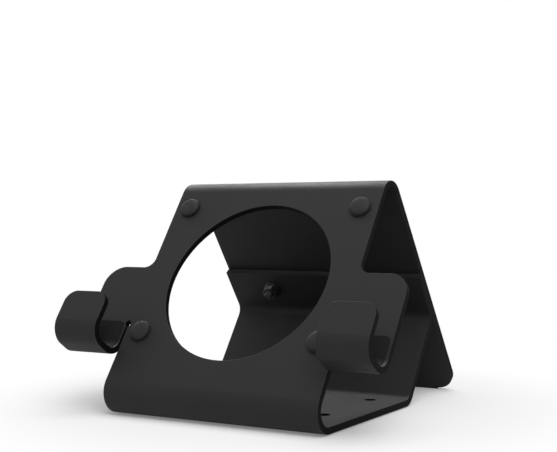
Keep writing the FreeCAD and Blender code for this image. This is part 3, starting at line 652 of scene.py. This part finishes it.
def brace_nuts(material):
    """Hexagon nuts, corners turned down at both faces, with a countersunk bore."""
    bpy.ops.mesh.primitive_cylinder_add(
        vertices=6, radius=NUT_RADIUS, depth=NUT_HEIGHT, location=(0, 0, NUT_HEIGHT / 2),
        rotation=(0, 0, math.radians(30)))
    piece = named(bpy.context.object, "hex_nut_right")
    bake_place(piece)
    slope = 2 * NUT_TURNED * math.tan(NUT_TURNED_ANGLE)
    narrow, wide = NUT_RADIUS - NUT_TURNED, NUT_RADIUS + NUT_TURNED
    gauge = turned_part("turning_gauge", [
        (narrow, 0), (wide, slope), (wide, NUT_HEIGHT - slope), (narrow, NUT_HEIGHT)],
        GAUGE_CORNERS)
    modify(piece, "BOOLEAN", operation="INTERSECT", solver="EXACT", object=gauge)
    bpy.data.objects.remove(gauge)
    bore = turned_part("bore_gauge", [
        (NUT_BORE + SINK_WIDTH, -SINK_EXTRA), (NUT_BORE, SINK_DEPTH),
        (NUT_BORE, NUT_HEIGHT - SINK_DEPTH), (NUT_BORE + SINK_WIDTH, NUT_HEIGHT + SINK_EXTRA)])
    modify(piece, "BOOLEAN", operation="DIFFERENCE", solver="EXACT", object=bore)
    bpy.data.objects.remove(bore)
    soften(piece, STEEL_ROUND, segments=2, limit=25)
    face_outwards(piece)
    set_down(piece, joint_place(1, -THICKNESS - SEAM_GAP - WASHER_THICKNESS), -LEG_OUT)
    finish_pair(piece, joint_place(1, 0).x, material, "brace_nut")


# ---------------------------------------------------------------- shader effects
def shader_node(tree, kind, settings=None, **inputs):
    """New node; settings are its properties, inputs are socket values or links.

    An input is given by name, with _ for a space, or by place, as _0.
    """
    item = tree.nodes.new(kind)
    for name, value in (settings or {}).items():
        setattr(item, name, value)
    for name, value in inputs.items():
        by_place = name[1:].isdigit()
        socket = item.inputs[int(name[1:]) if by_place else name.replace("_", " ")]
        if isinstance(value, bpy.types.NodeSocket):
            tree.links.new(value, socket)
        else:
            socket.default_value = value
    return item


def math_node(tree, operation, first, second=0.0, clamp=False):
    item = shader_node(tree, "ShaderNodeMath", {"operation": operation, "use_clamp": clamp},
                       _0=first, _1=second)
    return item.outputs[0]


def ranged(tree, value, low, high, to_low=0.0, to_high=1.0):
    """Smooth step of a value from one range to another."""
    item = shader_node(tree, "ShaderNodeMapRange", {"interpolation_type": "SMOOTHSTEP"},
                       Value=value, From_Min=low, From_Max=high, To_Min=to_low, To_Max=to_high)
    return item.outputs["Result"]


def noise(tree, place, scale, detail=2.0):
    item = shader_node(tree, "ShaderNodeTexNoise", None, Vector=place, Scale=scale, Detail=detail)
    return item.outputs[0]


def mixed(tree, factor, first, second):
    """Mix of two colours."""
    item = shader_node(tree, "ShaderNodeMix", {"data_type": "RGBA"},
                       _0=factor, _6=first, _7=second)
    return item.outputs[2]


def object_place(tree):
    return shader_node(tree, "ShaderNodeTexCoord").outputs["Object"]


def scale_of(tree, size):
    """Texture scale at which one feature is size mm wide."""
    return math_node(tree, "DIVIDE", 1 / MM, size)


def new_effect(name, inputs, outputs):
    """Node group whose inputs are (name, value) and whose outputs are names of values."""
    tree = bpy.data.node_groups.new(name, "ShaderNodeTree")
    add = tree.interface.new_socket
    for label, value in inputs:
        add(label, in_out="INPUT", socket_type="NodeSocketFloat").default_value = value
    for label in outputs:
        add(label, in_out="OUTPUT", socket_type="NodeSocketFloat")
    return tree, tree.nodes.new("NodeGroupInput").outputs, tree.nodes.new("NodeGroupOutput").inputs


def grain_effect():
    """Fine grain: a height for bump, and speckle for colour."""
    tree, given, result = new_effect(
        "surface_grain", [("Size mm", 0.4), ("Sharpness", 0.5)], ["Height", "Speckle"])
    scale = scale_of(tree, given["Size mm"])
    place = object_place(tree)
    coarse = noise(tree, place, scale, 2.0)
    fine = noise(tree, place, math_node(tree, "MULTIPLY", scale, 2.7), 1.0)
    cells = shader_node(tree, "ShaderNodeTexVoronoi", None, Vector=place, Scale=scale)
    pits = ranged(tree, cells.outputs["Distance"], 0.1, 0.6)
    rough = shader_node(tree, "ShaderNodeMix", {"data_type": "FLOAT"},
                        _0=given["Sharpness"], _2=coarse, _3=pits).outputs[0]
    tree.links.new(math_node(tree, "ADD", rough, math_node(tree, "MULTIPLY", fine, 0.4)),
                   result["Height"])
    tree.links.new(ranged(tree, fine, 0.35, 0.7), result["Speckle"])
    return tree


def wear_glint_effect():
    """Mask along sharp edges, broken up by noise: rubbed paint, and on the coat a painted highlight.
    """
    tree, given, result = new_effect(
        "edge_wear_glint", [("Width mm", 0.5), ("Breakup mm", 3.0)], ["Mask"])
    radius = math_node(tree, "MULTIPLY", given["Width mm"], MM)
    rounded = shader_node(tree, "ShaderNodeBevel", {"samples": 6}, Radius=radius)
    normal = shader_node(tree, "ShaderNodeNewGeometry").outputs["Normal"]
    along = shader_node(tree, "ShaderNodeVectorMath", {"operation": "DOT_PRODUCT"},
                        _0=rounded.outputs[0], _1=normal).outputs["Value"]
    edge = ranged(tree, math_node(tree, "SUBTRACT", 1.0, along), 0.01, 0.16)
    scale = scale_of(tree, given["Breakup mm"])
    breakup = ranged(tree, noise(tree, object_place(tree), scale, 4.0), 0.36, 0.62, 0.35, 1.0)
    tree.links.new(math_node(tree, "MULTIPLY", edge, breakup, True), result["Mask"])
    return tree


def dust_light_effect():
    """Mask of faces that look up, broken up by noise: a light dusting, and painted light."""
    tree, given, result = new_effect(
        "dust_and_painted_light", [("Patch mm", 14.0), ("Specks mm", 0.5)], ["Mask"])
    normal = shader_node(tree, "ShaderNodeNewGeometry").outputs["Normal"]
    upward = shader_node(tree, "ShaderNodeSeparateXYZ", None, Vector=normal).outputs["Z"]
    place = object_place(tree)
    patch = noise(tree, place, scale_of(tree, given["Patch mm"]), 5.0)
    specks = noise(tree, place, scale_of(tree, given["Specks mm"]), 2.0)
    cover = math_node(tree, "MULTIPLY", ranged(tree, upward, 0.8, 1.0),
                      ranged(tree, patch, 0.3, 0.7, 0.45, 1.0))
    cover = math_node(tree, "MULTIPLY", cover, ranged(tree, specks, 0.3, 0.65, 0.5, 1.0), True)
    tree.links.new(cover, result["Mask"])
    return tree


def handling_effect():
    """Slow changes of gloss left by hands and by the coating's flow."""
    tree, given, result = new_effect("handling", [("Patch mm", 22.0)], ["Gloss", "Shade"])
    place = object_place(tree)
    scale = scale_of(tree, given["Patch mm"])
    tree.links.new(ranged(tree, noise(tree, place, scale, 4.0), 0.3, 0.7), result["Gloss"])
    wide = noise(tree, place, math_node(tree, "MULTIPLY", scale, 0.35), 2.0)
    tree.links.new(ranged(tree, wide, 0.3, 0.7), result["Shade"])
    return tree


# ---------------------------------------------------------------- materials
def placed(tree, effect, **values):
    """Outputs of a shared effect placed in a material with its own values."""
    item = tree.nodes.new("ShaderNodeGroup")
    item.node_tree = effect
    for name, value in values.items():
        item.inputs[name.replace("_", " ")].default_value = value
    return item.outputs


def finish(name, effects, look):
    """Principled material built from the shared effects; look holds its values."""
    material = bpy.data.materials.new(name)
    material.use_nodes = True
    tree = material.node_tree
    shader = tree.nodes["Principled BSDF"]
    grain = placed(tree, effects["grain"], Size_mm=look["grain_mm"], Sharpness=look["sharpness"])
    wear_glint = placed(tree, effects["wear_glint"], Width_mm=look["wear_glint_mm"])
    dust_light = placed(tree, effects["dust_light"])
    hands = placed(tree, effects["handling"], Patch_mm=look["patch_mm"])
    colour = mixed(tree, grain["Speckle"], (*look["dark"], 1), (*look["light"], 1))
    shade = math_node(tree, "MULTIPLY", hands["Shade"], look["shade_change"])
    colour = mixed(tree, shade, colour, (*look["shaded"], 1))
    # Lighter along sharp edges: rubbed paint, and on the coat a painted highlight.
    worn_glint = math_node(tree, "MULTIPLY", wear_glint["Mask"], look["wear_glint_amount"])
    colour = mixed(tree, worn_glint, colour, (*look["worn_glint"], 1))
    # Lighter on faces that look up: a light dusting, and painted light that brightens the inside of
    # the base.
    dusty_lit = math_node(tree, "MULTIPLY", dust_light["Mask"], look["dust_light_amount"])
    colour = mixed(tree, dusty_lit, colour, (*DUST_LIGHT_COLOUR, 1))
    tree.links.new(colour, shader.inputs["Base Color"])
    gloss = ranged(tree, hands["Gloss"], 0.0, 1.0, look["roughness"] - look["gloss_change"],
                   look["roughness"] + look["gloss_change"])
    gloss = math_node(tree, "ADD", gloss, math_node(tree, "MULTIPLY", dusty_lit, DUST_DULLING), True)
    tree.links.new(gloss, shader.inputs["Roughness"])
    bump = shader_node(tree, "ShaderNodeBump", None, Height=grain["Height"],
                       Strength=look["bump"], Distance=look["bump_mm"] * MM)
    tree.links.new(bump.outputs[0], shader.inputs["Normal"])
    shader.inputs["Specular IOR Level"].default_value = look["specular"]
    shader.inputs["Metallic"].default_value = look["metallic"]
    return material


# ---------------------------------------------------------------- lights, floor and camera
def camera():
    data = bpy.data.cameras.new("camera")
    data.sensor_width = CAMERA_SENSOR
    data.lens = CAMERA_LENS
    data.clip_start, data.clip_end = CAMERA_RANGE
    item = bpy.data.objects.new("camera", data)
    item.location = CAMERA_PLACE
    item.rotation_euler = [math.radians(angle) for angle in CAMERA_TURN]
    bpy.context.scene.collection.objects.link(item)
    bpy.context.scene.camera = item


def seen_directly(tree):
    """One on rays that show a background: from the camera, and in gloss and glass."""
    path = tree.nodes.new("ShaderNodeLightPath").outputs
    either = math_node(tree, "MAXIMUM", path["Is Camera Ray"], path["Is Glossy Ray"])
    return math_node(tree, "MAXIMUM", either, path["Is Transmission Ray"])


def floor():
    """Plain white floor that keeps the shadow; seen from below it is open."""
    bpy.ops.mesh.primitive_plane_add(size=FLOOR_SIZE, location=(0, 0, 0))
    item = bpy.context.object
    item.name = "floor"
    material = bpy.data.materials.new("floor_white")
    material.use_nodes = True
    tree = material.node_tree
    shader = tree.nodes["Principled BSDF"]
    shader.inputs["Base Color"].default_value = (FLOOR_WHITE, FLOOR_WHITE, FLOOR_WHITE, 1)
    shader.inputs["Roughness"].default_value = 0.9
    shader.inputs["Specular IOR Level"].default_value = 0.0
    white = shader_node(tree, "ShaderNodeEmission", None, Color=(1, 1, 1, 1), Strength=1.0)
    reach = shader_node(tree, "ShaderNodeVectorMath", {"operation": "LENGTH"},
                        _0=object_place(tree)).outputs["Value"]
    glow = ranged(tree, reach, *FLOOR_FADE, FLOOR_GLOW, 1.0)
    share = math_node(tree, "MULTIPLY", seen_directly(tree), glow)
    blend = shader_node(tree, "ShaderNodeMixShader", None, _0=share,
                        _1=shader.outputs[0], _2=white.outputs[0])
    below = tree.nodes.new("ShaderNodeNewGeometry").outputs["Backfacing"]
    open_below = shader_node(tree, "ShaderNodeMixShader", None, _0=below, _1=blend.outputs[0],
                             _2=tree.nodes.new("ShaderNodeBsdfTransparent").outputs[0])
    tree.links.new(open_below.outputs[0], tree.nodes["Material Output"].inputs["Surface"])
    item.data.materials.append(material)
    item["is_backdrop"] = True


def area_light(name, place, target_height, size, power):
    """Square lamp that looks at the axis of the stand."""
    data = bpy.data.lights.new(name, "AREA")
    data.shape = "RECTANGLE"
    data.size = data.size_y = size
    data.energy = power
    item = bpy.data.objects.new(name, data)
    item.location = place
    aim = Vector((0, 0, target_height)) - Vector(place)
    item.rotation_euler = aim.to_track_quat("-Z", "Y").to_euler()
    bpy.context.scene.collection.objects.link(item)
    return item


def fill_light():
    """Lamp behind the stand that opens up its inside: no shadows, and none of it on the floor."""
    item = area_light("rear_fill", **REAR_FILL)
    item.data.use_shadow = False
    lit = bpy.data.collections.new("lit_by_rear_fill")
    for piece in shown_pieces():
        lit.objects.link(piece)
    item.light_linking.receiver_collection = lit


def world():
    """White where it is seen directly; a softer grey where it only lights."""
    sky = bpy.data.worlds.new("studio")
    bpy.context.scene.world = sky
    sky.use_nodes = True
    tree = sky.node_tree
    back = tree.nodes["Background"]
    back.inputs["Color"].default_value = (1, 1, 1, 1)
    strength = ranged(tree, seen_directly(tree), 0.0, 1.0, ROOM_LIGHT, 1.0)
    tree.links.new(strength, back.inputs["Strength"])


# ---------------------------------------------------------------- looks
CAMERA_SENSOR = 36
CAMERA_LENS = 72.85
CAMERA_RANGE = (0.01, 50)
CAMERA_PLACE = (0.2700, -0.4660, 0.0898)
CAMERA_TURN = (89.44, 0.24, 30.63)

# Near the stand the floor shows its shading; further out it fades to the white background.
FLOOR_SIZE = 12
FLOOR_WHITE = 0.96
FLOOR_GLOW = 0.18
FLOOR_FADE = (0.08, 0.17)
ROOM_LIGHT = 0.25
KEY_PANEL = {"place": (1.1, -1.2, 1.6), "target_height": 0.05, "size": 1.4, "power": 27.5}
TOP_PANEL = {"place": (0.3, 0.0, 1.9), "target_height": 0.05, "size": 1.8, "power": 16.0}
REAR_FILL = {"place": (-0.76, 0.8, 1.17), "target_height": 0.02, "size": 0.5, "power": 12.7}

# Colours are linear, and values whose names end in mm are in millimetres.
# Pale colour on faces that look up: a light dusting, and painted light.
DUST_LIGHT_COLOUR = (0.30, 0.29, 0.27)
DUST_DULLING = 1.2

# On the coat the pale edge colour is partly rubbed paint and partly a painted highlight.
COAT = {"dark": (0.0115, 0.0115, 0.0115), "light": (0.0170, 0.0170, 0.0170),
        "shaded": (0.0100, 0.0100, 0.0100), "shade_change": 0.25,
        "worn_glint": (0.090, 0.090, 0.090), "wear_glint_amount": 0.5, "wear_glint_mm": 0.4,
        "dust_light_amount": 0.05, "grain_mm": 0.45, "sharpness": 0.35, "patch_mm": 24.0,
        "roughness": 0.57, "gloss_change": 0.02, "bump": 0.35, "bump_mm": 0.02,
        "specular": 0.20, "metallic": 0.0}
# Cut edges are a darker, less glossy copy of the coat: the darkening is painted shade.
CUT_EDGE_SHADE = dict(COAT, dark=(0.0035, 0.0035, 0.0035), light=(0.0065, 0.0065, 0.0065),
                shaded=(0.0030, 0.0030, 0.0030), wear_glint_amount=0.06, roughness=0.65,
                specular=0.03, grain_mm=0.3)
OXIDE = {"dark": (0.040, 0.040, 0.041), "light": (0.060, 0.060, 0.062),
         "shaded": (0.030, 0.030, 0.031), "shade_change": 0.5,
         "worn_glint": (0.28, 0.28, 0.28), "wear_glint_amount": 0.4, "wear_glint_mm": 0.2,
         "dust_light_amount": 0.04, "grain_mm": 0.25, "sharpness": 0.2, "patch_mm": 4.0,
         "roughness": 0.38, "gloss_change": 0.06, "bump": 0.3, "bump_mm": 0.01,
         "specular": 0.5, "metallic": 0.8}
FOAM = {"dark": (0.007, 0.007, 0.007), "light": (0.018, 0.018, 0.018),
        "shaded": (0.009, 0.009, 0.009), "shade_change": 0.4,
        "worn_glint": (0.030, 0.030, 0.030), "wear_glint_amount": 0.2, "wear_glint_mm": 0.2,
        "dust_light_amount": 0.04, "grain_mm": 0.35, "sharpness": 0.8, "patch_mm": 8.0,
        "roughness": 0.9, "gloss_change": 0.04, "bump": 0.6, "bump_mm": 0.06,
        "specular": 0.1, "metallic": 0.0}
RUBBER = {"dark": (0.010, 0.010, 0.010), "light": (0.020, 0.020, 0.020),
          "shaded": (0.013, 0.013, 0.013), "shade_change": 0.4,
          "worn_glint": (0.040, 0.040, 0.040), "wear_glint_amount": 0.35, "wear_glint_mm": 0.3,
          "dust_light_amount": 0.06, "grain_mm": 0.3, "sharpness": 0.4, "patch_mm": 6.0,
          "roughness": 0.72, "gloss_change": 0.06, "bump": 0.45, "bump_mm": 0.03,
          "specular": 0.25, "metallic": 0.0}

# ---------------------------------------------------------------- the stand
bpy.context.scene.view_settings.view_transform = "Standard"
bpy.ops.object.select_all(action="DESELECT")
effects = {"grain": grain_effect(), "wear_glint": wear_glint_effect(), "dust_light": dust_light_effect(),
           "handling": handling_effect()}
coat = finish("black_powder_coat", effects, COAT)
cut_edge_shade = finish("cut_edge_painted_shade", effects, CUT_EDGE_SHADE)
camera()
world()
floor()
area_light("key_panel", **KEY_PANEL)
area_light("top_panel", **TOP_PANEL)
stand_sheet(coat, cut_edge_shade)
hook_liners(finish("liner_foam_rubber", effects, FOAM))
rubber = finish("black_rubber", effects, RUBBER)
bumpers(rubber)
base_pads(rubber)
toe_strip(rubber)
oxide = finish("black_oxide_steel", effects, OXIDE)
brace_screws(oxide)
brace_washers(oxide)
brace_nuts(oxide)
fill_light()
